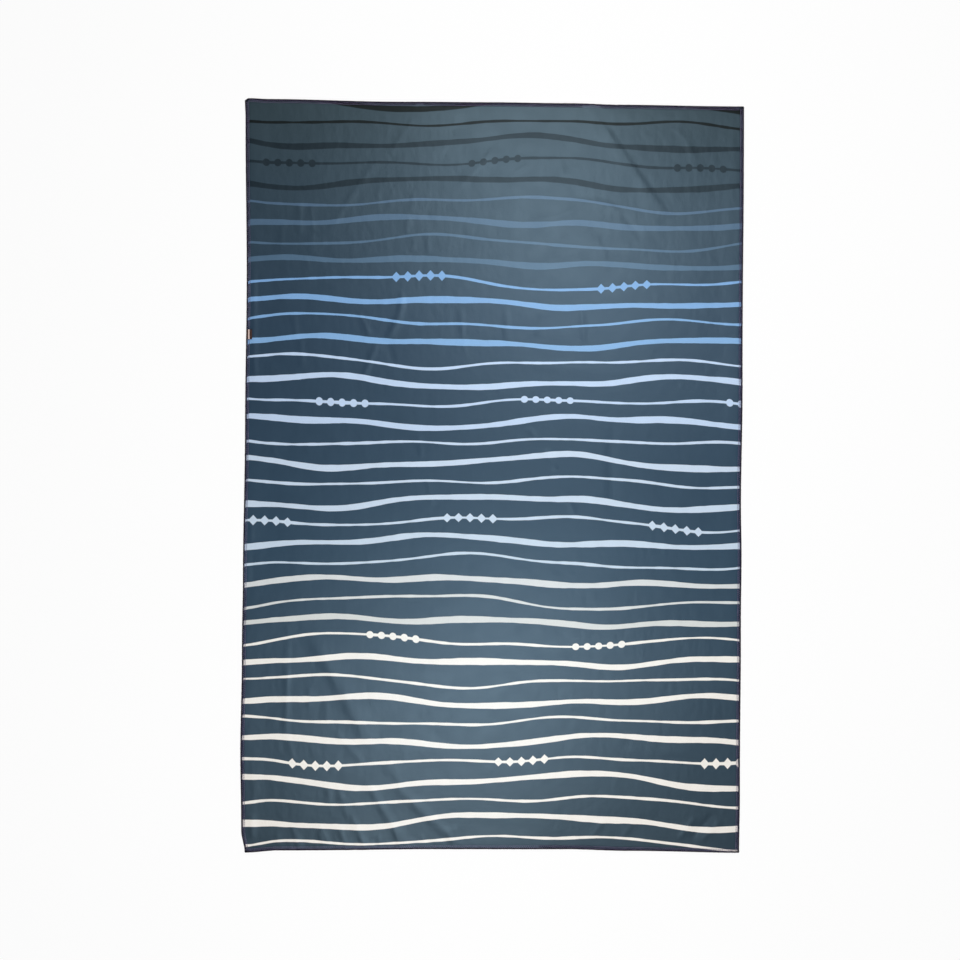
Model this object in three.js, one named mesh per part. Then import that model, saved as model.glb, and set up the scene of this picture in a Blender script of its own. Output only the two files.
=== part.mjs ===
// A printed microfibre face towel with a plain overlocked edge, lying face up and flat on a surface.
// Millimetres, +Z up. X runs across the towel and Y along it; the origin is on the surface, under
// the middle of the towel. Every length is a cut size or a height above that surface.
//
// The towel is one cut panel of cloth, four runs of overlock thread that wrap its raw edges, and a
// small folded side tab caught in the left-hand run.

import * as THREE from "three";

const TOWEL_WIDTH = 400;
const TOWEL_LENGTH = 600;
const CLOTH_THICKNESS = 1.0;
const SEWN_GAP = 0.3; // left between any two pieces that are sewn together

const EDGING_WIDTH = 4.2; // from the towel's outline to the inner ends of the stitches
const EDGING_THREAD = 0.4; // thickness of the thread lying over and under the cloth
const EDGING_LIP = 0.6; // thickness of the thread knotted along the raw edge

const CELLS_ACROSS = 29;
const CELLS_ALONG = 43;

const HALF_WIDTH = TOWEL_WIDTH / 2;
const HALF_LENGTH = TOWEL_LENGTH / 2;
const CLOTH_INSET = EDGING_LIP + SEWN_GAP; // the cloth's raw edge, inside the towel's outline
const BAND_INSET = EDGING_WIDTH + SEWN_GAP; // where the cloth comes out from under the stitches
const EDGE_HEIGHT = EDGING_THREAD + SEWN_GAP; // the cloth's underside where thread runs beneath it

// Where each side of the outline really lies. `at` is the cut place along that side, measured from
// its middle, and `out` is the side's distance there from the towel's middle line.
const LEFT_SIDE = [
  { at: -300, out: 199.0 },
  { at: -282, out: 201.8 },
  { at: -220, out: 202.5 },
  { at: -140, out: 201.2 },
  { at: -80, out: 200.4 },
  { at: 45, out: 198.6 },
  { at: 160, out: 197.4 },
  { at: 285, out: 198.3 },
  { at: 300, out: 198.8 },
];
const RIGHT_SIDE = [
  { at: -300, out: 198.1 },
  { at: -250, out: 198.9 },
  { at: -120, out: 199.7 },
  { at: -60, out: 200.3 },
  { at: -20, out: 199.8 },
  { at: 80, out: 201.1 },
  { at: 300, out: 202.3 },
];
const FAR_SIDE = [
  { at: -200, out: 303.5 },
  { at: -180, out: 302.7 },
  { at: -70, out: 300.3 },
  { at: 0, out: 300.1 },
  { at: 60, out: 299.3 },
  { at: 100, out: 298.0 },
  { at: 200, out: 296.8 },
];
const NEAR_SIDE = [
  { at: -200, out: 302.8 },
  { at: -172, out: 301.0 },
  { at: -55, out: 300.0 },
  { at: 60, out: 300.0 },
  { at: 110, out: 301.4 },
  { at: 200, out: 302.7 },
];

// Soft creases left by folding and handling. Each ridge runs from (x1, y1) to (x2, y2), stands
// `rise` proud of the cloth round it and fades out over `reach` on both sides and at its ends.
const CREASES = [
  { x1: -68, y1: 280, x2: -131, y2: 198, rise: 0.7, reach: 15 },
  { x1: 12, y1: 269, x2: -30, y2: 227, rise: 0.5, reach: 15 },
  { x1: 96, y1: 272, x2: 142, y2: 212, rise: 0.6, reach: 16 },
  { x1: 34, y1: 204, x2: 90, y2: 220, rise: 0.4, reach: 14 },
  { x1: 90, y1: 220, x2: 144, y2: 170, rise: 0.5, reach: 14 },
  { x1: -72, y1: 148, x2: -103, y2: 78, rise: 0.9, reach: 15 },
  { x1: 92, y1: 41, x2: 100, y2: -26, rise: 0.6, reach: 15 },
  { x1: -163, y1: -122, x2: -167, y2: -213, rise: 0.5, reach: 14 },
  { x1: -143, y1: -125, x2: -98, y2: -212, rise: 1.0, reach: 16 },
  { x1: -142, y1: -172, x2: -102, y2: -226, rise: 0.5, reach: 14 },
  { x1: -127, y1: -246, x2: -101, y2: -302, rise: 0.8, reach: 15 },
  { x1: -100, y1: -246, x2: -64, y2: -304, rise: 0.7, reach: 15 },
  { x1: -60, y1: -262, x2: -26, y2: -304, rise: 0.8, reach: 15 },
  { x1: 172, y1: -270, x2: 150, y2: -304, rise: 0.5, reach: 14 },
];

// Places along its edges where the cloth stands a little off the surface. Each lift is highest at
// (x, y) and fades out over `reach` round it.
const LIFTS = [
  { x: -200, y: 252, rise: 0.5, reach: 56 },
  { x: -199, y: 40, rise: 0.7, reach: 66 },
  { x: -201, y: -118, rise: 0.5, reach: 54 },
  { x: -112, y: -303, rise: 0.6, reach: 60 },
  { x: 30, y: -301, rise: 0.5, reach: 70 },
  { x: 201, y: -300, rise: 1.1, reach: 64 },
  { x: 200, y: -150, rise: 0.5, reach: 56 },
  { x: 201, y: 34, rise: 0.8, reach: 72 },
  { x: 202, y: 214, rise: 0.5, reach: 60 },
  { x: 96, y: 299, rise: 0.6, reach: 64 },
  { x: -58, y: 301, rise: 0.8, reach: 68 },
];

// The side tab is a strip folded in two. Its raw ends are caught in the edging's knots, and it lies
// over the stitches with its fold towards the middle of the towel.
const TAB = {
  y: 113.5, // its middle, along the left-hand edge
  width: 8, // measured along the edge
  inset: 1.4, // its raw ends, from the towel's outline
  reach: 4.2, // from its raw ends to its fold
  layer: 0.4, // thickness of one layer of the strip
  fold: 0.35, // space between the two layers
};

const ease = (t) => t * t * (3 - 2 * t);
const clamp = THREE.MathUtils.clamp;
const lerp = THREE.MathUtils.lerp;

// Distance of a side from the middle line at the cut place `at`, eased from row to row.
function outAt(side, at) {
  const next = side.findIndex((row) => row.at >= at);
  if (next <= 0) return side[next === 0 ? 0 : side.length - 1].out;
  const [a, b] = [side[next - 1], side[next]];
  return lerp(a.out, b.out, ease((at - a.at) / (b.at - a.at)));
}

// Where a point of the cut panel, measured from its middle, lies in plan.
function layOut(cutX, cutY) {
  const left = outAt(LEFT_SIDE, cutY);
  const right = outAt(RIGHT_SIDE, cutY);
  const far = outAt(FAR_SIDE, cutX);
  const near = outAt(NEAR_SIDE, cutX);
  return {
    x: lerp(-left, right, (cutX + HALF_WIDTH) / TOWEL_WIDTH),
    y: lerp(-near, far, (cutY + HALF_LENGTH) / TOWEL_LENGTH),
  };
}

// Height of one crease at a point in plan.
function creaseHeight(crease, x, y) {
  const run = new THREE.Vector2(crease.x2 - crease.x1, crease.y2 - crease.y1);
  const from = new THREE.Vector2(x - crease.x1, y - crease.y1);
  const along = clamp(from.dot(run) / run.lengthSq(), 0, 1);
  const away = from.addScaledVector(run, -along).length() / crease.reach;
  return away < 1 ? crease.rise * ease(1 - away) : 0;
}

// Height of one lift at a point in plan.
function liftHeight(lift, x, y) {
  return lift.rise * ease(clamp(1 - Math.hypot(x - lift.x, y - lift.y) / lift.reach, 0, 1));
}

// Height of the cloth's underside over a point of the cut panel. It is level across the strip held
// between the stitches, so that the thread runs parallel to the cloth there.
function undersideAt(cutX, cutY) {
  const heldX = clamp(cutX, -HALF_WIDTH + BAND_INSET, HALF_WIDTH - BAND_INSET);
  const heldY = clamp(cutY, -HALF_LENGTH + BAND_INSET, HALF_LENGTH - BAND_INSET);
  const fromEdge = Math.min(HALF_WIDTH - Math.abs(heldX), HALF_LENGTH - Math.abs(heldY));
  const settle = 18; // the cloth comes down to the surface over this width
  const lifted = EDGE_HEIGHT * ease(clamp(1 - (fromEdge - BAND_INSET) / settle, 0, 1));
  const { x, y } = layOut(heldX, heldY);
  const creased = CREASES.reduce((height, crease) => height + creaseHeight(crease, x, y), lifted);
  return LIFTS.reduce((height, lift) => height + liftHeight(lift, x, y), creased);
}

// Stations along one axis of the cut panel: its raw edge, the edge of the sewn strip, and even
// steps between.
function stations(half, cells) {
  const inner = half - BAND_INSET;
  const steps = Array.from({ length: cells - 1 }, (_, i) => lerp(-inner, inner, i / (cells - 2)));
  return [-half + CLOTH_INSET, ...steps, half - CLOTH_INSET];
}

const ACROSS = stations(HALF_WIDTH, CELLS_ACROSS);
const ALONG = stations(HALF_LENGTH, CELLS_ALONG);

function solid(name, points, faces, material) {
  const geometry = new THREE.BufferGeometry();
  geometry.setAttribute("position", new THREE.Float32BufferAttribute(points.flat(), 3));
  geometry.setIndex(faces.flat());
  const mesh = new THREE.Mesh(geometry, material);
  mesh.name = name;
  return mesh;
}

// Two triangles for the quad a, b, c, d, which runs anticlockwise seen from outside.
const quad = (a, b, c, d) => [a, b, c, a, c, d];

// A closed tube of like rings, each a list of the same number of points, with flat ends.
function skin(name, rings, endFaces, material) {
  const size = rings[0].length;
  const faces = [];
  for (let i = 0; i + 1 < rings.length; i++) {
    for (let j = 0; j < size; j++) {
      const k = (j + 1) % size;
      faces.push(quad(i * size + j, i * size + k, (i + 1) * size + k, (i + 1) * size + j));
    }
  }
  const last = (rings.length - 1) * size;
  for (const [a, b, c] of endFaces) {
    faces.push([c, b, a], [last + a, last + b, last + c]);
  }
  return solid(name, rings.flat(), faces, material);
}

// The panel: its underside and its face as two like grids, joined round the raw edge.
function makePanel(material) {
  const columns = ACROSS.length;
  const layer = (lift) =>
    ALONG.flatMap((cutY) =>
      ACROSS.map((cutX) => {
        const { x, y } = layOut(cutX, cutY);
        return [x, y, undersideAt(cutX, cutY) + lift];
      }),
    );
  const points = [...layer(0), ...layer(CLOTH_THICKNESS)];
  const under = (i, j) => j * columns + i;
  const over = (i, j) => points.length / 2 + under(i, j);
  const faces = [];
  const [lastI, lastJ] = [columns - 1, ALONG.length - 1];
  for (let j = 0; j < lastJ; j++) {
    for (let i = 0; i < lastI; i++) {
      faces.push(quad(over(i, j), over(i + 1, j), over(i + 1, j + 1), over(i, j + 1)));
      faces.push(quad(under(i, j), under(i, j + 1), under(i + 1, j + 1), under(i + 1, j)));
    }
    faces.push(quad(under(0, j), over(0, j), over(0, j + 1), under(0, j + 1)));
    faces.push(quad(under(lastI, j), under(lastI, j + 1), over(lastI, j + 1), over(lastI, j)));
  }
  for (let i = 0; i < lastI; i++) {
    faces.push(quad(under(i, 0), under(i + 1, 0), over(i + 1, 0), over(i, 0)));
    faces.push(quad(under(i, lastJ), over(i, lastJ), over(i + 1, lastJ), under(i + 1, lastJ)));
  }
  return solid("panel", points, faces, material);
}

// One run of overlock thread, as the hollow section it makes round the raw edge. Each corner of
// the section is a distance in from the outline and a height above the cloth's underside.
const EDGING_SECTION = [
  { inset: 0, height: -EDGE_HEIGHT },
  { inset: EDGING_WIDTH, height: -EDGE_HEIGHT },
  { inset: EDGING_WIDTH, height: -SEWN_GAP },
  { inset: EDGING_LIP, height: -SEWN_GAP },
  { inset: EDGING_LIP, height: CLOTH_THICKNESS + SEWN_GAP },
  { inset: EDGING_WIDTH, height: CLOTH_THICKNESS + SEWN_GAP },
  { inset: EDGING_WIDTH, height: CLOTH_THICKNESS + EDGE_HEIGHT },
  { inset: 0, height: CLOTH_THICKNESS + EDGE_HEIGHT },
];
const EDGING_ENDS = [
  [0, 1, 2],
  [0, 2, 3],
  [0, 3, 4],
  [0, 4, 7],
  [4, 5, 6],
  [4, 6, 7],
];

// `cutAt` gives the cut place of a point `inset` from the outline at a station along the side.
function makeEdging(name, sideStations, cutAt, material) {
  const rings = sideStations.map((along) =>
    EDGING_SECTION.map(({ inset, height }) => {
      const { cutX, cutY } = cutAt(along, inset);
      const { x, y } = layOut(cutX, cutY);
      return [x, y, undersideAt(cutX, cutY) + height];
    }),
  );
  return skin(name, rings, EDGING_ENDS, material);
}

// The two cross runs reach the corners, and the two long runs stop a sewn gap short of them.
const crossStations = [-HALF_WIDTH, ...ACROSS.slice(1, -1), HALF_WIDTH];
const longEnd = HALF_LENGTH - EDGING_WIDTH - SEWN_GAP;
const longStations = [-longEnd, ...ALONG.slice(2, -2), longEnd];

// The side tab, as a hairpin section across the towel, carried along the edge for its width.
function makeSideTab(material) {
  const start = -HALF_WIDTH + TAB.inset;
  const seat = undersideAt(start, TAB.y) + CLOTH_THICKNESS + EDGE_HEIGHT + SEWN_GAP;
  const { reach, layer, fold, width } = TAB;
  const high = 2 * layer + fold;
  const section = [
    { x: 0, z: 0 },
    { x: reach - layer, z: 0 },
    { x: reach, z: high / 2 },
    { x: reach - layer, z: high },
    { x: 0, z: high },
    { x: 0, z: high - layer },
    { x: reach - 1.5 * layer, z: high - layer },
    { x: reach - layer, z: high / 2 },
    { x: reach - 1.5 * layer, z: layer },
    { x: 0, z: layer },
  ];
  const ends = [
    [0, 1, 8],
    [0, 8, 9],
    [1, 2, 7],
    [1, 7, 8],
    [2, 3, 7],
    [3, 6, 7],
    [3, 4, 6],
    [4, 5, 6],
  ];
  const ring = (cutY) =>
    section.map(({ x, z }) => {
      const place = layOut(start + x, cutY);
      return [place.x, place.y, seat + z];
    });
  return skin("side_tab", [ring(TAB.y + width / 2), ring(TAB.y - width / 2)], ends, material);
}

const cloth = new THREE.MeshStandardMaterial({ color: 0x33485a, roughness: 0.75, metalness: 0 });
const thread = new THREE.MeshStandardMaterial({ color: 0x231c36, roughness: 0.6, metalness: 0 });
const tape = new THREE.MeshStandardMaterial({ color: 0x5a4238, roughness: 0.8, metalness: 0 });

const towel = new THREE.Group();
towel.name = "face_towel";
towel.add(
  makePanel(cloth),
  makeEdging(
    "edging_far",
    [...crossStations].reverse(),
    (along, inset) => ({ cutX: along, cutY: HALF_LENGTH - inset }),
    thread,
  ),
  makeEdging(
    "edging_near",
    crossStations,
    (along, inset) => ({ cutX: along, cutY: -HALF_LENGTH + inset }),
    thread,
  ),
  makeEdging(
    "edging_left",
    [...longStations].reverse(),
    (along, inset) => ({ cutX: -HALF_WIDTH + inset, cutY: along }),
    thread,
  ),
  makeEdging(
    "edging_right",
    longStations,
    (along, inset) => ({ cutX: HALF_WIDTH - inset, cutY: along }),
    thread,
  ),
  makeSideTab(tape),
);

export default towel;
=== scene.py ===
import math
import random
from collections import namedtuple

import bmesh
import bpy
import numpy as np
from mathutils import Matrix, Vector, noise


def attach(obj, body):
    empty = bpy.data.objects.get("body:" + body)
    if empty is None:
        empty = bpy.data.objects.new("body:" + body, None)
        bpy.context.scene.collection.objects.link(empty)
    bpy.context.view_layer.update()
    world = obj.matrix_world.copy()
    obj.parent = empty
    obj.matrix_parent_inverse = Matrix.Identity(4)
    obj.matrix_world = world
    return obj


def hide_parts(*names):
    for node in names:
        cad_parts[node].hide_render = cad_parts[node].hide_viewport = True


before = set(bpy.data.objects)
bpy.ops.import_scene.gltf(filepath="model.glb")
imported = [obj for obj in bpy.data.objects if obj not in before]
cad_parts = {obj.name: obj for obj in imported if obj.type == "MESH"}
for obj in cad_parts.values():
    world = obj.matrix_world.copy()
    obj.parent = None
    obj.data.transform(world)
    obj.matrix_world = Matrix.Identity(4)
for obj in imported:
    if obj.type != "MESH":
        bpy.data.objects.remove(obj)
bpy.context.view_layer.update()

# ---- Panel ------------------------------------------------------------------------------------
# One rectangle of brushed microfibre, cut raw at 400 x 600 mm and printed on its face only.
# It lies face up and nearly flat, a little out of square, with soft creases left by folding.
# The towel's sizes are in millimetres throughout, and MM turns them into the frame's metres.

MM = 0.001
CUT_WIDTH = 400
CUT_LENGTH = 600
HALF_WIDTH = CUT_WIDTH / 2
HALF_LENGTH = CUT_LENGTH / 2
THICKNESS = 0.9
RAW_INSET = 0.6     # the raw edge, in from the towel's outline
SEWN_STRIP = 4.2    # how far in the edging's stitches reach
CELL = 3.3          # size of one face of the sheet, away from its creases
LOFT = 0.55         # the sheet's usual height on its own nap
EDGE_HEIGHT = 0.74  # its height where thread runs beneath it
EDGE_GIVE = 0.08    # how far a trough may take it below that
EDGE_REACH = 18     # it comes down from its edges over this width
LEAST_HEIGHT = 0.12
SETTLE = 0.06       # it rounds off onto its least height within this
CREASE_FADE = 0.25  # a crease eases up from its ends over this share of its length,
CREASE_END = 0.1    # and is this share of the way into the ease at them
ONCE_WITHIN = 2.2   # the sheet is made finer within so many reaches of a crease,
TWICE_WITHIN = 1.8  # and finer again within so many of a narrow one
NARROW = 4          # a crease with less reach than this is narrow

# Where each side of the outline lies: a cut place along the side, and how far out it is there.
Place = namedtuple("Place", "at out")
LEFT_SIDE = [
    Place(-300, 199.0), Place(-282, 201.8), Place(-220, 202.5), Place(-140, 201.2),
    Place(-80, 200.4), Place(45, 198.6), Place(160, 197.4), Place(285, 198.3), Place(300, 198.8),
]
RIGHT_SIDE = [
    Place(-300, 198.1), Place(-250, 198.9), Place(-120, 199.7), Place(-60, 200.3),
    Place(-20, 199.8), Place(80, 201.1), Place(300, 202.3),
]
FAR_SIDE = [
    Place(-200, 301.9), Place(-196.8, 303.4), Place(-180, 302.7), Place(-70, 300.3),
    Place(0, 300.1), Place(60, 299.3), Place(100, 298.0), Place(200, 296.8),
]
NEAR_SIDE = [
    Place(-200, 302.8), Place(-172, 301.0), Place(-55, 300.0), Place(60, 300.0),
    Place(110, 301.4), Place(200, 302.7),
]

# Each crease runs from (x1, y1) to (x2, y2), bowing to its left by `bow` at its middle. It stands
# `rise` proud, or sinks if that is negative. Its right flank falls away over `reach`, and its left
# flank over `left` times that.
Crease = namedtuple("Crease", "x1 y1 x2 y2 bow rise reach left", defaults=[1])
CREASES = [
    # the far left corner's fan, from the far edge down towards the left side
    Crease(-58, 292, -86, 253, -1, 0.09, 3.0),
    Crease(-89, 258, -135, 190, -1, 0.13, 3.2),
    Crease(-84, 261, -80, 252, 0, -0.08, 1.9),
    Crease(5, 266, -32, 226, 0, 0.11, 2.8),
    Crease(-155, 222, -154, 193, 0, 0.15, 2.7),
    Crease(-146, 221, -144, 194, 0, 0.13, 2.4),
    Crease(-145, 195, -146, 177, 0, 0.13, 3.6),
    Crease(-150, 176, -146, 163, 0, 0.08, 2.2),
    Crease(-168, 208, -170, 180, 0, 0.10, 2.4),
    Crease(-90, 234, -93, 211, 0, 0.08, 2.4),
    Crease(-80, 232, -83, 211, 0, 0.06, 2.2),
    Crease(-63, 229, -66, 211, 1, 0.10, 2.4),
    Crease(-67, 210, -70, 193, 0, 0.10, 2.4),
    Crease(-62, 195, -64, 178, 0, 0.11, 2.4),
    Crease(-52, 195, -51, 177, 0, 0.11, 2.6),
    # the far right corner: one sharp pressed line, and the arc inside it
    Crease(144, 203, 80, 293, 0, 0.22, 2.9, 3.0),
    Crease(142, 281, 158, 266, 2, 0.07, 2.4),
    Crease(156, 270, 166, 240, 1, 0.09, 2.4),
    Crease(31, 205, 73, 218, -3, 0.24, 3.0),
    Crease(64, 218, 104, 212, 4, 0.22, 3.0),
    Crease(103, 211, 120, 189, 1, -0.13, 2.8),
    Crease(83, 193, 92, 172, 0, 0.14, 2.6),
    Crease(54, 257, 58, 239, 0, 0.12, 2.4),
    Crease(29, 251, 13, 239, 0, 0.12, 2.4),
    # the crossed crease left of the middle
    Crease(-72, 150, -87, 106, 4, 0.34, 3.0),
    Crease(-86, 110, -78, 88, 0, -0.18, 3.4),
    Crease(-92, 108, -105, 76, 0, 0.28, 2.6),
    Crease(-160, 131, -157, 108, 0, 0.14, 2.8),
    Crease(-154, 113, -153, 84, 0, 0.16, 2.8),
    Crease(-108, 134, -97, 109, 0, 0.14, 2.2),
    # small handling marks round the middle
    Crease(-26, 137, -22, 96, 0, 0.14, 2.6),
    Crease(12, 134, 12, 106, 0, 0.18, 3.0),
    Crease(41, 134, 35, 111, 0, 0.18, 3.0),
    Crease(71, 142, 74, 106, 0, 0.26, 2.6),
    Crease(14, 91, 134, 79, 0, 0.10, 5.0),
    Crease(96, 42, 97, -32, -1, -0.36, 4.2),
    Crease(29, 39, 38, 24, 0, 0.22, 2.6),
    Crease(41, 22, 52, 3, 0, 0.40, 2.8),
    Crease(55, -8, 67, -34, 1, 0.32, 2.8),
    Crease(-53, -3, -47, -24, 0, 0.19, 2.2),
    Crease(-176, 24, -170, 6, 0, 0.12, 2.0),
    Crease(-60, 38, -56, 12, 0, 0.10, 2.4),
    # the near left corner: a pressed line and two long folds across the corner
    Crease(-164, -112, -165, -172, 0, 0.10, 2.9),
    Crease(-165, -150, -166, -212, 0, 0.19, 2.9),
    Crease(-167, -202, -158, -233, 0, 0.11, 3.0),
    Crease(-152, -120, -97, -222, 2, 0.50, 5.4, 1.6),
    Crease(-128, -203, -103, -233, 0, 0.14, 3.0),
    Crease(-147, -169, -147, -187, 0, 0.12, 2.4),
    Crease(-134, -181, -133, -198, 0, 0.12, 2.4),
    # ripples that run out through the near edge
    Crease(-88, -229, -72, -250, 1, 0.20, 4.4),
    Crease(-80, -248, -56, -270, 1, 0.30, 4.2),
    Crease(-66, -262, -22, -302, 1, 0.34, 4.0),
    Crease(-102, -246, -86, -272, 1, 0.26, 3.8),
    Crease(-92, -262, -66, -303, 0, 0.26, 3.6),
    Crease(-121, -254, -116, -276, 0, 0.18, 3.4),
    Crease(-114, -270, -98, -303, -1, 0.24, 3.2),
    Crease(-143, -251, -142, -266, 0, -0.06, 2.2),
    Crease(-132, -248, -131, -267, 0, 0.12, 2.8),
    Crease(-124, -247, -122, -262, 0, 0.10, 2.4),
    Crease(184, -276, 167, -294, 0, 0.18, 2.4),
    Crease(164, -273, 149, -293, 0, 0.18, 2.4),
    Crease(178, -270, 158, -293, 0, -0.18, 2.6),
    Crease(92, -273, 79, -292, 0, 0.12, 2.4),
    Crease(116, -273, 104, -292, 0, 0.12, 2.4),
    # the rolled left edge, and long faint rolls of the cloth
    Crease(-192, 174, -191, 64, 0, 0.30, 2.8),
    Crease(-194, -33, -194, -52, 0, 0.20, 2.6),
    Crease(-196, -58, -196, -87, 0, 0.20, 2.6),
    Crease(-191, -234, -192, -266, 0, 0.12, 3.0),
    Crease(-193, -271, -193, -292, 0, 0.26, 2.8),
    Crease(98, -221, 168, -223, 0, 0.12, 4.5),
    Crease(-82, -221, -38, -221, 0, 0.07, 3.5),
    Crease(-150, -224, -96, -222, 0, 0.07, 4.0),
]

# The broad and the small unevenness with which the sheet lies: its height, the size of its lumps,
# and a seed.
Swell = namedtuple("Swell", "rise size seed")
SWELLS = [Swell(0.28, 90, 1.5), Swell(0.08, 26, 4.5)]

# Places along its edges where the towel stands a little off the surface.
Lift = namedtuple("Lift", "x y rise reach")
LIFTS = [
    Lift(-200, 252, 0.5, 35), Lift(-199, 40, 0.7, 41), Lift(-201, -118, 0.5, 34),
    Lift(-112, -303, 0.6, 38), Lift(30, -301, 0.5, 44), Lift(201, -300, 1.1, 40),
    Lift(200, -150, 0.5, 35), Lift(201, 34, 0.8, 45), Lift(202, 214, 0.5, 38),
    Lift(96, 299, 0.6, 40), Lift(-58, 301, 0.8, 42),
]

# The seam draws the near edge into short ripples, which lean the same way at uneven distances.
RIPPLES_START = -172
RIPPLES_LOW = -12   # from here on they stand half as high
RIPPLES_END = 34
RIPPLE_STEP = (4.5, 8.5)
RIPPLE_LENGTH = (9, 24)
RIPPLE_LEAN = (0.3, 0.55)   # as a share of its length
RIPPLE_RISE = (0.05, 0.22)
RIPPLE_REACH = (1.9, 2.7)
ripple_chance = random.Random(11)
ripple_x = RIPPLES_START
while ripple_x < RIPPLES_END:
    ripple_x += ripple_chance.uniform(*RIPPLE_STEP)
    length = ripple_chance.uniform(*RIPPLE_LENGTH)
    lean = ripple_chance.uniform(*RIPPLE_LEAN) * length
    rise = ripple_chance.uniform(*RIPPLE_RISE) * (0.5 if ripple_x > RIPPLES_LOW else 1)
    reach = ripple_chance.uniform(*RIPPLE_REACH)
    CREASES.append(Crease(ripple_x - lean, length - 303, ripple_x, -306, 0, rise, reach))


def ease(t):
    """0 to 1 with a gentle start and end."""
    return t * t * (3 - 2 * t)


def out_at(side, at):
    """How far out a side lies at the cut places `at`, eased from row to row."""
    places, outs = np.array(side).T
    row = np.clip(np.searchsorted(places, at) - 1, 0, len(places) - 2)
    share = np.clip((at - places[row]) / (places[row + 1] - places[row]), 0, 1)
    return outs[row] + (outs[row + 1] - outs[row]) * ease(share)


def lay_out(cut_x, cut_y):
    """Where points of the cut panel, measured from its middle, lie in plan."""
    left = out_at(LEFT_SIDE, cut_y)
    right = out_at(RIGHT_SIDE, cut_y)
    far = out_at(FAR_SIDE, cut_x)
    near = out_at(NEAR_SIDE, cut_x)
    x = (left + right) * (cut_x + HALF_WIDTH) / CUT_WIDTH - left
    y = (near + far) * (cut_y + HALF_LENGTH) / CUT_LENGTH - near
    return x, y


def crease_place(crease, x, y):
    """Where points lie along one crease, from 0 to 1, and how many reaches they are from it."""
    run_x = crease.x2 - crease.x1
    run_y = crease.y2 - crease.y1
    length = math.hypot(run_x, run_y)
    along = ((x - crease.x1) * run_x + (y - crease.y1) * run_y) / length**2
    aside = ((y - crease.y1) * run_x - (x - crease.x1) * run_y) / length
    inside = np.clip(along, 0, 1)
    aside = aside - crease.bow * 4 * inside * (1 - inside)
    beyond = (along - inside) * length
    reach = np.where(aside > 0, crease.reach * crease.left, crease.reach)
    return inside, np.hypot(aside / reach, beyond / crease.reach)


def crease_height(crease, x, y):
    """Height of one crease at points in plan."""
    inside, away = crease_place(crease, x, y)
    from_end = np.minimum(inside, 1 - inside)
    fade = ease(np.clip(from_end / CREASE_FADE + CREASE_END, 0, 1))
    return crease.rise * fade * np.exp(-(away**2))


def rumple(x, y, size, seed):
    """Smooth random unevenness, about -1 to 1, with lumps of one size."""
    return np.array([noise.noise(Vector((a / size, b / size, seed))) for a, b in zip(x, y)])


def underside(cut_x, cut_y):
    """Height of the sheet's underside. It is level across the strip that the edging holds."""
    held_x = np.clip(cut_x, -HALF_WIDTH + SEWN_STRIP, HALF_WIDTH - SEWN_STRIP)
    held_y = np.clip(cut_y, -HALF_LENGTH + SEWN_STRIP, HALF_LENGTH - SEWN_STRIP)
    x, y = lay_out(held_x, held_y)
    from_edge = np.minimum(HALF_WIDTH - np.abs(held_x), HALF_LENGTH - np.abs(held_y)) - SEWN_STRIP
    by_edge = 1 - ease(np.clip(from_edge / EDGE_REACH, 0, 1))
    loose = LOFT
    for swell in SWELLS:
        loose = loose + swell.rise * rumple(x, y, swell.size, swell.seed)
    height = loose + (EDGE_HEIGHT - loose) * by_edge
    for crease in CREASES:
        height += crease_height(crease, x, y)
    for lift in LIFTS:
        height += lift.rise * np.exp(-((x - lift.x) ** 2 + (y - lift.y) ** 2) / lift.reach**2)
    least = LEAST_HEIGHT + (EDGE_HEIGHT - EDGE_GIVE - LEAST_HEIGHT) * by_edge
    above = height - least
    return least + 0.5 * (above + np.sqrt(above**2 + SETTLE**2))


def new_piece(name, bm, *materials):
    """A smooth-shaded object made from a bmesh, at the origin."""
    mesh = bpy.data.meshes.new(name)
    bm.to_mesh(mesh)
    bm.free()
    for polygon in mesh.polygons:
        polygon.use_smooth = True
    for material in materials:
        mesh.materials.append(material)
    piece = bpy.data.objects.new(name, mesh)
    bpy.context.scene.collection.objects.link(piece)
    return piece


def refine(bm, creases, reaches):
    """Cuts in four each face of the flat sheet's upper side that a crease's line passes near."""
    upper = [face for face in bm.faces if face.calc_center_median().z > -0.01]
    x, y = lay_out(*np.array([face.calc_center_median().xy for face in upper]).T)
    nearest = np.full(len(upper), np.inf)
    for crease in creases:
        nearest = np.minimum(nearest, crease_place(crease, x, y)[1])
    edges = {edge for face, away in zip(upper, nearest) if away < reaches for edge in face.edges}
    bmesh.ops.subdivide_edges(bm, edges=list(edges), cuts=1, use_grid_fill=True)


def panel_mesh():
    """The whole sheet, finer by its creases, with its cut places in metres as its UV map."""
    bm = bmesh.new()
    half_x = HALF_WIDTH - RAW_INSET
    half_y = HALF_LENGTH - RAW_INSET
    bmesh.ops.create_grid(
        bm,
        x_segments=round(2 * half_x / CELL),
        y_segments=round(2 * half_y / CELL),
        size=1,
        matrix=Matrix.Diagonal((half_x, half_y, 1, 1)),
    )
    bmesh.ops.solidify(bm, geom=bm.faces[:], thickness=THICKNESS)
    refine(bm, CREASES, ONCE_WITHIN)
    refine(bm, [crease for crease in CREASES if crease.reach < NARROW], TWICE_WITHIN)
    cut_map = bm.loops.layers.uv.new("cut")
    for face in bm.faces:
        face.material_index = int(face.calc_center_median().z < -0.9 * THICKNESS)
        for loop in face.loops:
            loop[cut_map].uv = loop.vert.co.xy * MM
    cut_x, cut_y, within = np.array([v.co for v in bm.verts]).T
    x, y = lay_out(cut_x, cut_y)
    z = underside(cut_x, cut_y) + THICKNESS + within
    for vert, place in zip(bm.verts, zip(x, y, z)):
        vert.co = Vector(place) * MM
    bmesh.ops.recalc_face_normals(bm, faces=bm.faces)
    return bm


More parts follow.
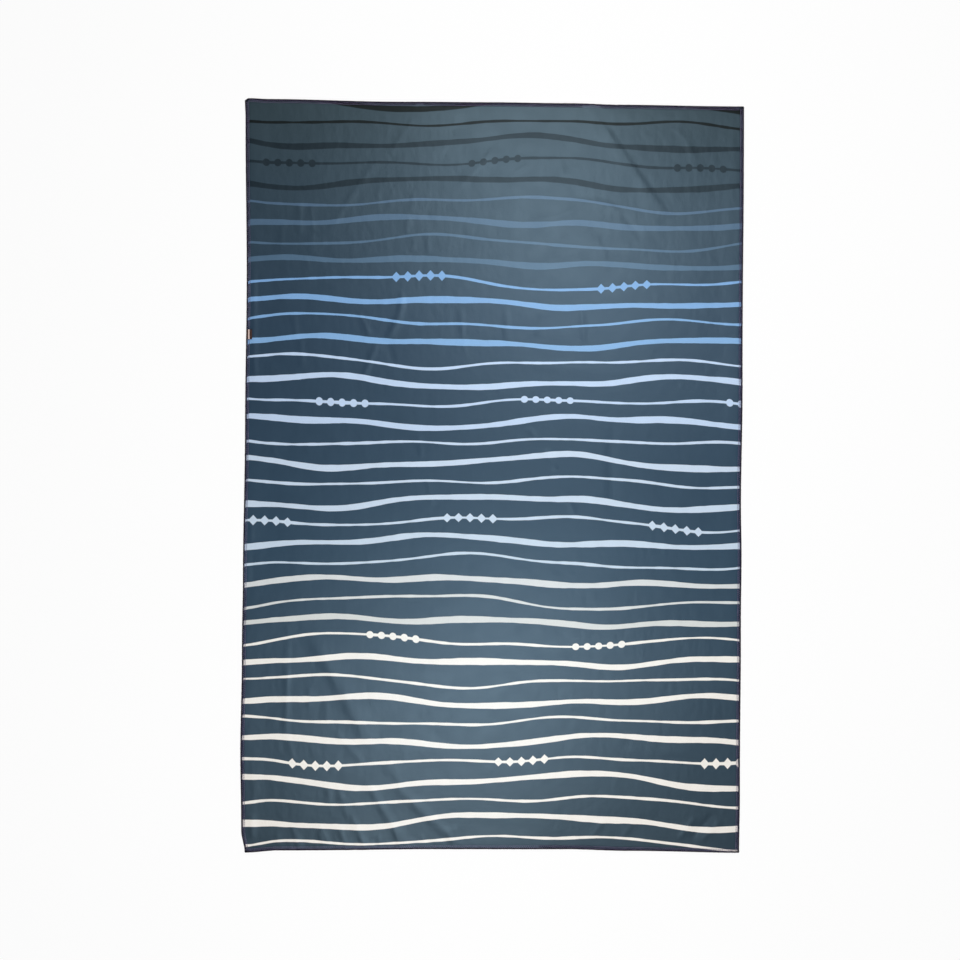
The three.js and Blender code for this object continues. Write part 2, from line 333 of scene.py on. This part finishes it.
def dye(code):
    """A colour as it looks, such as "3b4c58", for a colour socket."""
    parts = [int(code[i : i + 2], 16) / 255 for i in (0, 2, 4)]
    return [p / 12.92 if p <= 0.04045 else ((p + 0.055) / 1.055) ** 2.4 for p in parts] + [1]


class Field:
    """A number that varies over a surface. Arithmetic on fields adds Math nodes to their finish."""

    def __init__(self, finish, socket):
        self.finish = finish
        self.socket = socket

    def __add__(self, other):
        return self.finish.math("ADD", self, other)

    def __radd__(self, other):
        return self.finish.math("ADD", other, self)

    def __sub__(self, other):
        return self.finish.math("SUBTRACT", self, other)

    def __rsub__(self, other):
        return self.finish.math("SUBTRACT", other, self)

    def __mul__(self, other):
        return self.finish.math("MULTIPLY", self, other)

    def __rmul__(self, other):
        return self.finish.math("MULTIPLY", other, self)

    def __truediv__(self, other):
        return self.finish.math("DIVIDE", self, other)

    def __abs__(self):
        return self.finish.math("ABSOLUTE", self)


class Finish:
    """One procedural material. `math` makes its Math nodes, and `node` makes every other kind."""

    def __init__(self, name, **constants):
        self.material = bpy.data.materials.new(name)
        self.material.use_nodes = True
        self.tree = self.material.node_tree
        self.shader = self.tree.nodes["Principled BSDF"]
        for socket, value in constants.items():
            self.shader.inputs[socket.replace("_", " ")].default_value = value

    def node(self, kind, settings=None, sockets=None, output=0):
        made = self.tree.nodes.new(kind)
        for key, value in (settings or {}).items():
            if key == "stops":
                ramp = made.color_ramp.elements
                while len(ramp) < len(value):
                    ramp.new(1)
                for stop, (place, code) in zip(ramp, value):
                    stop.position = place
                    stop.color = dye(code)
            else:
                setattr(made, key, value)
        for key, value in (sockets or {}).items():
            self.feed(made.inputs[key], value)
        return Field(self, made.outputs[output])

    def feed(self, socket, value):
        if isinstance(value, Field):
            self.tree.links.new(value.socket, socket)
        else:
            socket.default_value = value

    def math(self, operation, *values):
        return self.node("ShaderNodeMath", {"operation": operation}, dict(enumerate(values)))

    def mix(self, share, below, above):
        settings = {"data_type": "RGBA"}
        return self.node("ShaderNodeMix", settings, {0: share, 6: below, 7: above}, output=2)

    def over(self, share, **constants):
        """Lays a second surface, of the same colour and relief, over a share of this one."""
        upper = self.tree.nodes.new("ShaderNodeBsdfPrincipled")
        for socket, value in constants.items():
            upper.inputs[socket.replace("_", " ")].default_value = value
        for socket in ("Base Color", "Normal"):
            source = self.shader.inputs[socket].links[0].from_socket
            self.tree.links.new(source, upper.inputs[socket])
        below = Field(self, self.shader.outputs[0])
        above = Field(self, upper.outputs[0])
        shown = self.node("ShaderNodeMixShader", None, {0: share, 1: below, 2: above})
        self.feed(self.tree.nodes["Material Output"].inputs["Surface"], shown)

    def fade(self, value, start, end):
        """0 before start and 1 past end, smooth between."""
        return self.node(
            "ShaderNodeMapRange",
            {"interpolation_type": "SMOOTHSTEP"},
            {"Value": value, "From Min": start, "From Max": end},
        )

    def wave(self, turns):
        """A sine that repeats once for each whole turn."""
        return self.math("SINE", turns * math.tau)

    def grain(self, vector, scale, detail=2, roughness=0.5):
        """Noise centred on 0."""
        made = self.node(
            "ShaderNodeTexNoise",
            None,
            {"Vector": vector, "Scale": scale, "Detail": detail, "Roughness": roughness},
        )
        return made - 0.5

    def bump(self, height):
        """Feeds the shader's normal. height is in millimetres."""
        sockets = {"Height": height, "Strength": 1.0, "Distance": MM}
        self.feed(self.shader.inputs["Normal"], self.node("ShaderNodeBump", None, sockets))


# The print: gently waving stripes at one even pitch, thick and thin by turns, with groups of small
# beads strung on every sixth one, round and diamond by turns. Their colour steps from charcoal
# through blue to cream.
PITCH = 16.0
PRINT_START = 7.5       # how much of the first row the far edge cuts off
THICK_STRIPE = 4.4
THIN_STRIPE = 2.0
INK_EDGE = 0.22         # half the width over which a printed edge softens
UNEVENNESS = 0.9        # of a stripe's half width, as the scale of a noise centred on 0
BEADED_EVERY = 6
BEADED_FIRST = 3
GROUP_PITCH = 165
GROUP_SHIFT = 61        # how far the groups move from one beaded stripe to the next
GROUP_WIDTH = 46
BEAD_PITCH = 9.2
ROUND_BEAD = 2.9        # its radius
DIAMOND_BEAD = 3.9      # half its width from point to point
DIAMOND_SLOPE = 0.7     # about 1 / sqrt(2), which makes a distance from its slanted sides

# The waves that bend all the stripes alike: how far, the distances across and down the towel in
# which each repeats, and where in a turn it starts.
Sway = namedtuple("Sway", "height across down start")
LONG_SWAY = Sway(3.3, 330, 270, 0)
SHORT_SWAY = Sway(1.5, 141, -210, 0.18)

# The waves that differ from stripe to stripe: how far, the distance in which each repeats, and the
# share of a turn by which it moves on from one row to the next.
Wander = namedtuple("Wander", "height across by_row")
LONG_WANDER = Wander(1.7, 260, 0.618)
SHORT_WANDER = Wander(0.5, 83, 0.41)
SWELLING = Wander(0.14, 97, 0.37)   # of a stripe's width, as a share of it

# How much of the inks' darkness goes, and from where to where, as shares of the towel's length.
DARK_STEPS = [(0.43, 0.02, 0.06), (0.57, 0.115, 0.13)]
INK_COLOURS = [
    (0.00, "060b0a"), (0.035, "070d0e"), (0.05, "0c1820"), (0.115, "0f1c25"),  # charcoal
    (0.13, "48607a"), (0.22, "4b667f"),     # dusk blue
    (0.235, "7ca8da"), (0.33, "84afdc"),    # sky blue
    (0.345, "c3d8f3"), (0.44, "c1d5ef"),    # pale blue
    (0.46, "cbdbee"), (0.62, "c8d8e7"),     # ice
    (0.635, "dadddd"), (0.70, "d8dad6"),    # pale grey
    (0.715, "f8f4ec"), (1.00, "faf3ea"),    # cream
]
GROUND_COLOURS = [(0.0, "263338"), (0.3, "22364a"), (0.6, "22394d"), (1.0, "24323c")]  # slate

# The cloth's own texture, which the face and the back share.
NAP_PATCH = 14          # size of the patches in which the brushed nap lies one way
TUFT = 1.1


def towel_print(finish):
    """The printed colour, how dark an ink lies there from 0 to 1, and the cut place in mm."""
    cut = finish.node("ShaderNodeUVMap", {"uv_map": "cut"})
    cut = finish.node("ShaderNodeVectorMath", {"operation": "SCALE"}, {0: cut, "Scale": 1 / MM})
    across = finish.node("ShaderNodeSeparateXYZ", None, {0: cut}, "X")
    down = HALF_LENGTH - finish.node("ShaderNodeSeparateXYZ", None, {0: cut}, "Y")

    def sway(wave):
        return wave.height * finish.wave(across / wave.across + down / wave.down + wave.start)

    def wander(wave):
        return wave.height * finish.wave(across / wave.across + row * wave.by_row)

    line = (down + (sway(LONG_SWAY) + sway(SHORT_SWAY)) + PRINT_START) / PITCH
    row = finish.math("FLOOR", line)
    off = (line - row - 0.5) * PITCH + wander(LONG_WANDER) + wander(SHORT_WANDER)
    thin = finish.math("FLOORED_MODULO", row, 2)
    half = THICK_STRIPE / 2 - thin * (THICK_STRIPE - THIN_STRIPE) / 2
    half = half * (1 + wander(SWELLING)) + UNEVENNESS * finish.grain(cut, 1 / NAP_PATCH, 1)
    stripe = finish.fade(half - abs(off), -INK_EDGE, INK_EDGE)

    beaded = finish.math("FLOORED_MODULO", row, BEADED_EVERY)
    beaded = finish.math("COMPARE", beaded, BEADED_FIRST, 0.5)
    turn = finish.math("FLOOR", row / BEADED_EVERY)
    group = finish.math("WRAP", across + turn * GROUP_SHIFT, GROUP_PITCH / 2, -GROUP_PITCH / 2)
    bead = finish.math("WRAP", group, BEAD_PITCH / 2, -BEAD_PITCH / 2)
    dot = ROUND_BEAD - finish.math("SQRT", bead * bead + off * off)
    diamond = (DIAMOND_BEAD - abs(bead) - abs(off)) * DIAMOND_SLOPE
    kind = finish.math("FLOORED_MODULO", turn, 2)
    shape = dot * (1 - kind) + diamond * kind
    strung = beaded * finish.math("LESS_THAN", abs(group), GROUP_WIDTH / 2)
    ink = finish.math("MAXIMUM", stripe, strung * finish.fade(shape, -INK_EDGE, INK_EDGE))

    ink_place = (row + 0.5) * (PITCH / CUT_LENGTH) - PRINT_START / CUT_LENGTH
    ink_colour = finish.node("ShaderNodeValToRGB", {"stops": INK_COLOURS}, {0: ink_place})
    ground = finish.node("ShaderNodeValToRGB", {"stops": GROUND_COLOURS}, {0: down / CUT_LENGTH})
    depth = 1
    for loss, start, end in DARK_STEPS:
        depth = depth - loss * finish.fade(ink_place, start, end)
    return finish.mix(ink, ground, ink_colour), ink * depth, cut


# The face's relief: the sizes of its crumples, dimples and ribs, and how high each stands.
CRUMPLE_ACROSS = 7
CRUMPLE_ALONG = 12
DIMPLE = 3.4
RIB_PITCH = 0.9
CRUMPLE_HEIGHT = 0.16
DIMPLE_HEIGHT = 0.04
TUFT_HEIGHT = 0.03
RIB_HEIGHT = 0.004


def face_finish():
    """The printed side: short brushed nap with a broad, slightly blue sheen, duller on dark ink."""
    finish = Finish(
        "printed microfibre",
        Specular_IOR_Level=0.61,
        Specular_Tint=(0.57, 0.81, 1.0, 1.0),
    )
    colour, dark, cut = towel_print(finish)
    nap = finish.grain(cut, 1 / NAP_PATCH, 3)
    pile = finish.grain(cut, 1 / TUFT, 2, 0.6)
    tone = finish.node(
        "ShaderNodeHueSaturation",
        None,
        {"Color": colour, "Value": 1 + 0.10 * nap + 0.16 * pile},
    )
    finish.feed(finish.shader.inputs["Base Color"], tone)
    finish.feed(finish.shader.inputs["Roughness"], 0.42 + 0.10 * nap + 0.05 * pile)
    drawn_out = finish.node(
        "ShaderNodeVectorMath",
        {"operation": "MULTIPLY"},
        {0: cut, 1: (1 / CRUMPLE_ACROSS, 1 / CRUMPLE_ALONG, 1)},
    )
    height = CRUMPLE_HEIGHT * finish.grain(drawn_out, 1, 1)
    height = height + DIMPLE_HEIGHT * finish.grain(cut, 1 / DIMPLE, 1)
    across = finish.node("ShaderNodeSeparateXYZ", None, {0: cut}, "X")
    finish.bump(height + TUFT_HEIGHT * pile + RIB_HEIGHT * finish.wave(across / RIB_PITCH))
    finish.over(dark, Roughness=0.45, Specular_IOR_Level=0.22, Specular_Tint=(0.7, 0.85, 0.9, 1.0))
    return finish.material


SHOW_THROUGH = 0.16     # how much of the print the back shows
BACK_TUFT_HEIGHT = 0.05


def back_finish():
    """The unprinted side: plain white cloth through which the print shows faintly."""
    finish = Finish("unprinted microfibre back", Specular_IOR_Level=0.3, Sheen_Weight=0.15)
    colour, dark, cut = towel_print(finish)
    pile = finish.grain(cut, 1 / TUFT, 2, 0.6)
    faint = finish.mix(SHOW_THROUGH, dye("d9dcde"), colour)
    tone = finish.node("ShaderNodeHueSaturation", None, {"Color": faint, "Value": 1 + 0.1 * pile})
    finish.feed(finish.shader.inputs["Base Color"], tone)
    finish.feed(finish.shader.inputs["Roughness"], 0.8 + 0.1 * pile - 0.05 * dark)
    finish.bump(BACK_TUFT_HEIGHT * pile)
    return finish.material


panel = new_piece("towel_panel", panel_mesh(), face_finish(), back_finish())
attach(panel, "root")
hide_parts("panel")

# ---- Edging -----------------------------------------------------------------------------------
# A three-thread overlock in aubergine polyester, sewn round the raw edge in four runs. A dark
# thread wraps the edge closely, near-black partly as painted shade of the edge rolling away from
# the light. Lighter looper threads zigzag in from it over the face and the back, to a needle
# thread that runs straight along the inner ends of the stitches.

WRAP_PITCH = 0.62
WRAP_RADIUS = 0.30      # of the wrap thread, which is bulky
LEG_PITCH = 1.7
LEG_RADIUS = 0.09       # of the looper and needle threads
NEEDLE_LINE = 3.0       # how far in from the outline the needle stitches
WOBBLE = 0.10           # how far a bend strays from its line
WOBBLE_LENGTH = 2.6
THREAD_REST = 0.02      # how far above the surface the lowest threads lie

# One turn or stitch of a thread. `along` is a share of its pitch, `inset` is measured in from the
# outline and `lift` up from the middle of the cloth.
Bend = namedtuple("Bend", "along inset lift")
WRAP_TURN = [
    Bend(0.00, 1.22, 0.55), Bend(0.15, 0.85, 0.76), Bend(0.30, 0.45, 0.66),
    Bend(0.42, 0.29, 0.30), Bend(0.55, 0.29, -0.30),
    Bend(0.68, 0.45, -0.66), Bend(0.82, 0.85, -0.76), Bend(0.96, 1.22, -0.55),
]
LOOPER_STITCH = [
    Bend(0.00, NEEDLE_LINE, 0.60), Bend(0.28, 1.80, 0.66), Bend(0.44, 1.10, 0.86),
    Bend(0.56, 1.10, 0.86), Bend(0.72, 1.80, 0.66),
]
NEEDLE_STITCH = [
    Bend(0.02, NEEDLE_LINE, 0.30), Bend(0.14, NEEDLE_LINE, 0.66),
    Bend(0.50, NEEDLE_LINE, 0.76), Bend(0.86, NEEDLE_LINE, 0.66),
]

# The threads of one run. `side` is 1 on the face and -1 on the back, whose threads are the face's
# turned over and `shift` of a stitch on. `stops_short` is 1 if its stitches keep out of the
# corners, and `dyed` picks its colour: its dye, darkened on the wrap with painted shade.
Thread = namedtuple("Thread", "stitch pitch radius side shift stops_short dyed")
THREADS = [
    Thread(WRAP_TURN, WRAP_PITCH, WRAP_RADIUS, 1, 0.0, 0.0, 0),
    Thread(LOOPER_STITCH, LEG_PITCH, LEG_RADIUS, 1, 0.0, 1.0, 1),
    Thread(LOOPER_STITCH, LEG_PITCH, LEG_RADIUS, -1, 0.5, 1.0, 1),
    Thread(NEEDLE_STITCH, LEG_PITCH, LEG_RADIUS, 1, 0.0, 1.0, 1),
    Thread(NEEDLE_STITCH, LEG_PITCH, LEG_RADIUS, -1, 0.5, 1.0, 1),
]

# How the four runs meet at the corners. The cross runs' wraps reach them. The long runs are sewn
# last: they start just inside the cross runs' outermost thread, and climb over their wraps.
CROSS_GAP = 0.35        # from a corner to a cross run's first wrap
CROSS_LEGS_GAP = 3.1    # and on to its first stitch, clear of the long runs' stitches
LONG_GAP = 0.75         # the same for a long run
LONG_LEGS_GAP = 1.1
CLIMB = 0.42            # how far a long run stands up over a cross run
CLIMB_START = 2.5       # how far from the corner it starts to climb
CLIMB_LENGTH = 1.2      # and over what length it does so
Run = namedtuple("Run", "half gap legs_gap climb cut_at")


def stitched(thread, start, end):
    """Places along, inset and up from mid cloth for a thread's bends over a run of stitches."""
    count = round((end - start) / thread.pitch)
    turns = np.arange(count)[:, None]
    along, inset, lift = np.array(thread.stitch).T
    along = start + (turns + along + thread.shift) * (end - start) / (count + thread.shift)
    along = along.ravel()
    inset = np.tile(inset, count)
    inset = inset + WOBBLE * rumple(along, inset, WOBBLE_LENGTH, thread.shift + thread.side)
    return along, inset, np.tile(lift, count) * thread.side


def overlock_run(name, run):
    """All threads of one run, as one mesh. run.cut_at gives the cut place of a bend."""
    curve = bpy.data.curves.new(name, "CURVE")
    curve.dimensions = "3D"
    curve.bevel_depth = MM
    curve.bevel_resolution = 1
    curve.use_fill_caps = True
    for finish in thread_dyes_and_shade:
        curve.materials.append(finish)
    for thread in THREADS:
        reach = run.half - run.gap - run.legs_gap * thread.stops_short
        along, inset, lift = stitched(thread, -reach, reach)
        climbed = ease(np.clip((np.abs(along) - run.half + CLIMB_START) / CLIMB_LENGTH, 0, 1))
        lift = lift + np.sign(lift) * climbed * run.climb
        cut_x, cut_y = run.cut_at(along, inset)
        x, y = lay_out(cut_x, cut_y)
        z = underside(cut_x, cut_y) + THICKNESS / 2 + lift
        z = np.maximum(z, thread.radius + THREAD_REST)
        spline = curve.splines.new("POLY")
        spline.material_index = thread.dyed
        spline.points.add(len(x) - 1)
        places = np.column_stack([x * MM, y * MM, z * MM, np.ones_like(x)])
        spline.points.foreach_set("co", places.ravel())
        spline.points.foreach_set("radius", np.full(len(x), thread.radius))
    drawn = bpy.data.objects.new(name, curve)
    bm = bmesh.new()
    bm.from_mesh(bpy.data.meshes.new_from_object(drawn))
    bpy.data.objects.remove(drawn)
    return bm


def thread_finish(name, hollow_shade, ply, gloss):
    """Textured polyester thread, with painted shade for its hollows and a slight gloss on its
    plies.
    """
    finish = Finish(name, Specular_IOR_Level=gloss)
    place = finish.node("ShaderNodeTexCoord", None, None, "Object")
    lengths = finish.grain(place, 1 / (2.5 * MM), 2)
    fibres = finish.grain(place, 1 / (0.25 * MM), 2, 0.6)
    # Painted shade: the hollow colour, mixed in by noise, darkens the thread in random lengths and
    # fibres.
    shade = finish.mix(0.5 + 0.9 * lengths + 0.5 * fibres, dye(hollow_shade), dye(ply))
    finish.feed(finish.shader.inputs["Base Color"], shade)
    finish.feed(finish.shader.inputs["Roughness"], 0.62 + 0.2 * fibres)
    finish.bump(0.04 * fibres)
    return finish.material


# Painted shade: the wrap thread's near-black stands partly for the shade where the edge rolls away
# from the light. The loopers show the lighter aubergine. In both, the first colour is painted shade
# for the thread's hollows, mixed in at random.
thread_dyes_and_shade = [
    thread_finish("aubergine wrap thread with painted shade", "0d0a15", "1d162c", 0.15),
    thread_finish("aubergine looper thread", "655b7c", "8b80a6", 0.3),
]
CROSS = (HALF_WIDTH, CROSS_GAP, CROSS_LEGS_GAP, 0)
LONG = (HALF_LENGTH, LONG_GAP, LONG_LEGS_GAP, CLIMB)
RUNS = {
    "far": Run(*CROSS, lambda along, inset: (along, HALF_LENGTH - inset)),
    "near": Run(*CROSS, lambda along, inset: (along, inset - HALF_LENGTH)),
    "left": Run(*LONG, lambda along, inset: (inset - HALF_WIDTH, along)),
    "right": Run(*LONG, lambda along, inset: (HALF_WIDTH - inset, along)),
}
for run_name, run in RUNS.items():
    edging = new_piece("overlock_" + run_name, overlock_run(run_name, run), *thread_dyes_and_shade)
    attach(edging, "root")
    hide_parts("edging_" + run_name)

# ---- Side tab ---------------------------------------------------------------------------------
# A short strip of woven tape, blank, folded in two and caught by its raw ends in the left run.
# It lies over the stitches with its fold towards the middle of the towel.

TAB_Y = 113.5
TAB_WIDTH = 7.8
TAB_START = 0.7         # the raw ends, in from the outline
TAB_REACH = 4.2
TAB_THICKNESS = 0.3
TAB_FOLD = 0.42         # radius of the fold, at the middle of the tape
TAB_SEAT = 0.66         # its underside's height above the cloth, just over the wraps
TAB_PINCH = 0.10        # how much of the fold's opening the seam takes out of its raw ends
TAB_NARROWING = 0.02    # how much narrower its upper layer is, for each millimetre up
TAB_RIPPLE = 0.06
TAB_RIPPLE_TURN = 1.1   # radians of the ripple for each millimetre of the tape's width
TAB_SAG = 0.25          # how far the fold hangs towards the cloth
TAPE_STRIPE = 1.1       # width of its blush stripe
TAPE_STRIPE_IN = 1.9    # the stripe's middle, in from the tape's upper raw end
WARP_PITCH = 0.34
WEFT_PITCH = 0.42


def tape_length():
    """Length of the strip from raw end to raw end, round its fold."""
    return 2 * (TAB_REACH - TAB_FOLD) + math.pi * TAB_FOLD


def tab_mesh():
    """The strip as a flat grid, wrapped round its fold. Its UV map is its length and width."""
    bm = bmesh.new()
    straight = TAB_REACH - TAB_FOLD
    length = tape_length()
    bmesh.ops.create_grid(
        bm,
        x_segments=36,
        y_segments=18,
        size=1,
        matrix=Matrix.Diagonal((length / 2, TAB_WIDTH / 2, 1, 1)),
    )
    tape_map = bm.loops.layers.uv.new("tape")
    for face in bm.faces:
        for loop in face.loops:
            loop[tape_map].uv = loop.vert.co.xy * MM
    edge = np.array([-HALF_WIDTH]), np.array([TAB_Y])
    edge_x = lay_out(*edge)[0][0]
    seat = float(underside(*edge)[0]) + THICKNESS + TAB_SEAT
    for vert in bm.verts:
        run = vert.co.x + length / 2
        turn = (run - straight) / TAB_FOLD
        if turn <= 0:
            place, up = run, 0.0
        elif turn < math.pi:
            place = straight + TAB_FOLD * math.sin(turn)
            up = TAB_FOLD * (1 - math.cos(turn))
        else:
            place = straight - (run - straight - math.pi * TAB_FOLD)
            up = 2 * TAB_FOLD
        pinch = TAB_PINCH * up * (1 - place / TAB_REACH)
        ripple = TAB_RIPPLE * math.sin(vert.co.y * TAB_RIPPLE_TURN) * place / TAB_REACH
        sag = TAB_SAG * (place / TAB_REACH) ** 2
        vert.co = Vector((
            edge_x + TAB_START + place,
            TAB_Y + vert.co.y * (1 - TAB_NARROWING * up),
            seat + TAB_THICKNESS / 2 + up - pinch + ripple - sag,
        )) * MM
    return bm


def tape_finish():
    """Matt woven tape, brown with a blush stripe along it; fine ribs run across it."""
    finish = Finish("striped woven tape", Specular_IOR_Level=0.35, Sheen_Weight=0.1)
    tape = finish.node("ShaderNodeUVMap", {"uv_map": "tape"})
    tape = finish.node("ShaderNodeVectorMath", {"operation": "SCALE"}, {0: tape, "Scale": 1 / MM})
    length = finish.node("ShaderNodeSeparateXYZ", None, {0: tape}, "X")
    width = finish.node("ShaderNodeSeparateXYZ", None, {0: tape}, "Y")
    warp = finish.wave(width / WARP_PITCH)
    weft = finish.wave(length / WEFT_PITCH)
    fibre = finish.grain(tape, 4, 2)
    stripe_middle = tape_length() / 2 - TAPE_STRIPE_IN
    stripe = finish.fade(TAPE_STRIPE / 2 + 0.2 * fibre - abs(length - stripe_middle), -0.08, 0.08)
    shade = finish.mix(stripe, dye("3d261f"), dye("dcc3ba"))
    tone = 1 + 0.2 * fibre + 0.06 * warp
    shade = finish.node("ShaderNodeHueSaturation", None, {"Color": shade, "Value": tone})
    finish.feed(finish.shader.inputs["Base Color"], shade)
    finish.feed(finish.shader.inputs["Roughness"], 0.8 + 0.1 * fibre)
    finish.bump(0.02 * warp * weft + 0.03 * fibre)
    return finish.material


tab = new_piece("folded_side_tab", tab_mesh(), tape_finish())
tab_wall = tab.modifiers.new("tape thickness", "SOLIDIFY")
tab_wall.thickness = TAB_THICKNESS * MM
tab_wall.offset = 0
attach(tab, "root")
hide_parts("side_tab")

# ---- Surface, light and camera ------------------------------------------------------------------
# A plain white surface that keeps a soft shadow, two soft lamps whose broad reflections fall on the
# towel's far and near halves, and a camera straight above it. Sizes are in metres here.

FLOOR_HALF = 6
BACKDROP_RADIUS = 5.9
BACKDROP_HEIGHT = 3
FILL_STRENGTH = 0.2
CAMERA_PLACE = (-0.0099, -0.0034, 1.0725)


def stage_finish(name, lit_share):
    """White to the eye, with lit_share of it showing the light and shadow that fall there."""
    finish = Finish(name, Base_Color=dye("ffffff"), Roughness=1.0, Specular_IOR_Level=0.0)
    path = finish.tree.nodes.new("ShaderNodeLightPath")
    seen = Field(finish, path.outputs["Is Camera Ray"])
    seen = finish.math("MAXIMUM", seen, Field(finish, path.outputs["Is Glossy Ray"]))
    seen = finish.math("MAXIMUM", seen, Field(finish, path.outputs["Is Transmission Ray"]))
    white = finish.node("ShaderNodeEmission", None, {"Color": dye("ffffff"), "Strength": 1.0})
    shown = finish.node(
        "ShaderNodeMixShader",
        None,
        {0: seen * (1 - lit_share), 1: Field(finish, finish.shader.outputs[0]), 2: white},
    )
    finish.feed(finish.tree.nodes["Material Output"].inputs["Surface"], shown)
    return finish.material


floor_bm = bmesh.new()
bmesh.ops.create_grid(floor_bm, x_segments=1, y_segments=1, size=FLOOR_HALF)
floor = new_piece("floor", floor_bm, stage_finish("pale surface", 0.08))

backdrop_bm = bmesh.new()
bmesh.ops.create_cone(
    backdrop_bm,
    cap_ends=False,
    segments=96,
    radius1=BACKDROP_RADIUS,
    radius2=BACKDROP_RADIUS,
    depth=BACKDROP_HEIGHT,
    matrix=Matrix.Translation((0, 0, BACKDROP_HEIGHT / 2)),
)
bmesh.ops.reverse_faces(backdrop_bm, faces=backdrop_bm.faces)
backdrop = new_piece("backdrop", backdrop_bm, stage_finish("pale backdrop", 0.0))

Lamp = namedtuple("Lamp", "name x y height width length turned watts")
LAMPS = [
    Lamp("far softbox", 0.076, 0.330, 0.60, 0.19, 0.40, 27, 2.40),
    Lamp("near softbox", -0.008, -0.274, 0.60, 0.19, 0.34, -46, 2.26),
]
for lamp in LAMPS:
    light = bpy.data.lights.new(lamp.name, "AREA")
    light.shape = "RECTANGLE"
    light.size = lamp.width
    light.size_y = lamp.length
    light.energy = lamp.watts
    softbox = bpy.data.objects.new(lamp.name, light)
    softbox.location = (lamp.x, lamp.y, lamp.height)
    softbox.rotation_euler.z = math.radians(lamp.turned)
    softbox.visible_camera = False
    bpy.context.scene.collection.objects.link(softbox)

world = bpy.data.worlds.new("even studio fill")
world.use_nodes = True
world.node_tree.nodes["Background"].inputs["Color"].default_value = (1, 1, 1, 1)
world.node_tree.nodes["Background"].inputs["Strength"].default_value = FILL_STRENGTH
bpy.context.scene.world = world

lens = bpy.data.cameras.new("overhead")
lens.type = "PERSP"
lens.lens = 50
lens.sensor_width = 36
lens.clip_start = 0.05
lens.clip_end = 50
camera = bpy.data.objects.new("overhead", lens)
camera.location = CAMERA_PLACE
bpy.context.scene.collection.objects.link(camera)
bpy.context.scene.camera = camera
bpy.context.scene.view_settings.view_transform = "Standard"
